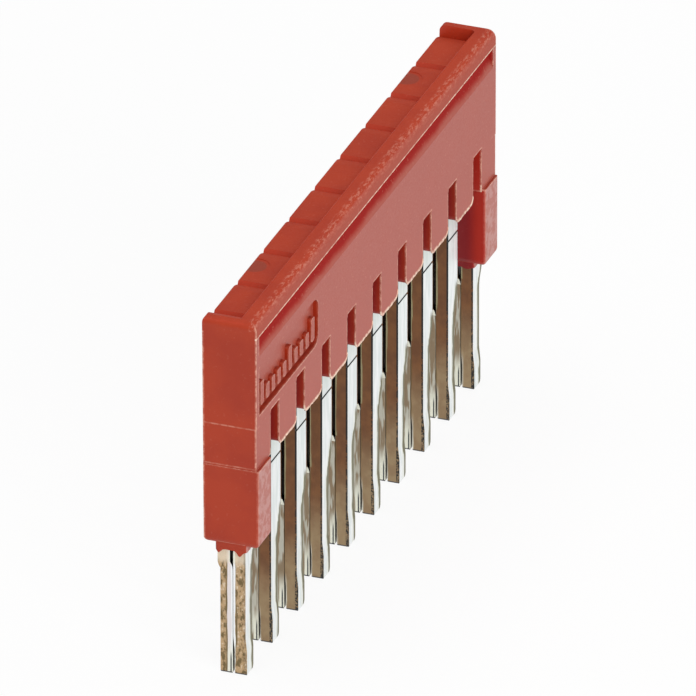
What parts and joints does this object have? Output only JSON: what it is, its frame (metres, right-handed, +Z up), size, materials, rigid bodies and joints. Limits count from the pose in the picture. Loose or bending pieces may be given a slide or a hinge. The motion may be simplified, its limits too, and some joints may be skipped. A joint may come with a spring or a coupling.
{
  "type": "terminal block jumper bar",
  "caption": "Plug-in jumper bar for terminal blocks: a slim red insulated comb housing with a notched top edge over a row of tinned copper prongs.",
  "frame": {"origin": "middle of the row, halfway through the thickness, on the plane of the tooth undersides that stops on the terminal blocks", "axes": "+X along the row, +Y through the thickness towards the plain back, +Z up, away from the terminal blocks"},
  "size_m": [0.0398, 0.0034, 0.0227],
  "materials": {
    "red_plastic": "moulded red polyamide, faint satin sheen",
    "tinned_copper": "bright tin plating on stamped copper, bare copper on the cut edges"
  },
  "bodies": {
    "root": {"housing": "red_plastic", "contact_comb": "tinned_copper"}
  },
  "joints": []
}
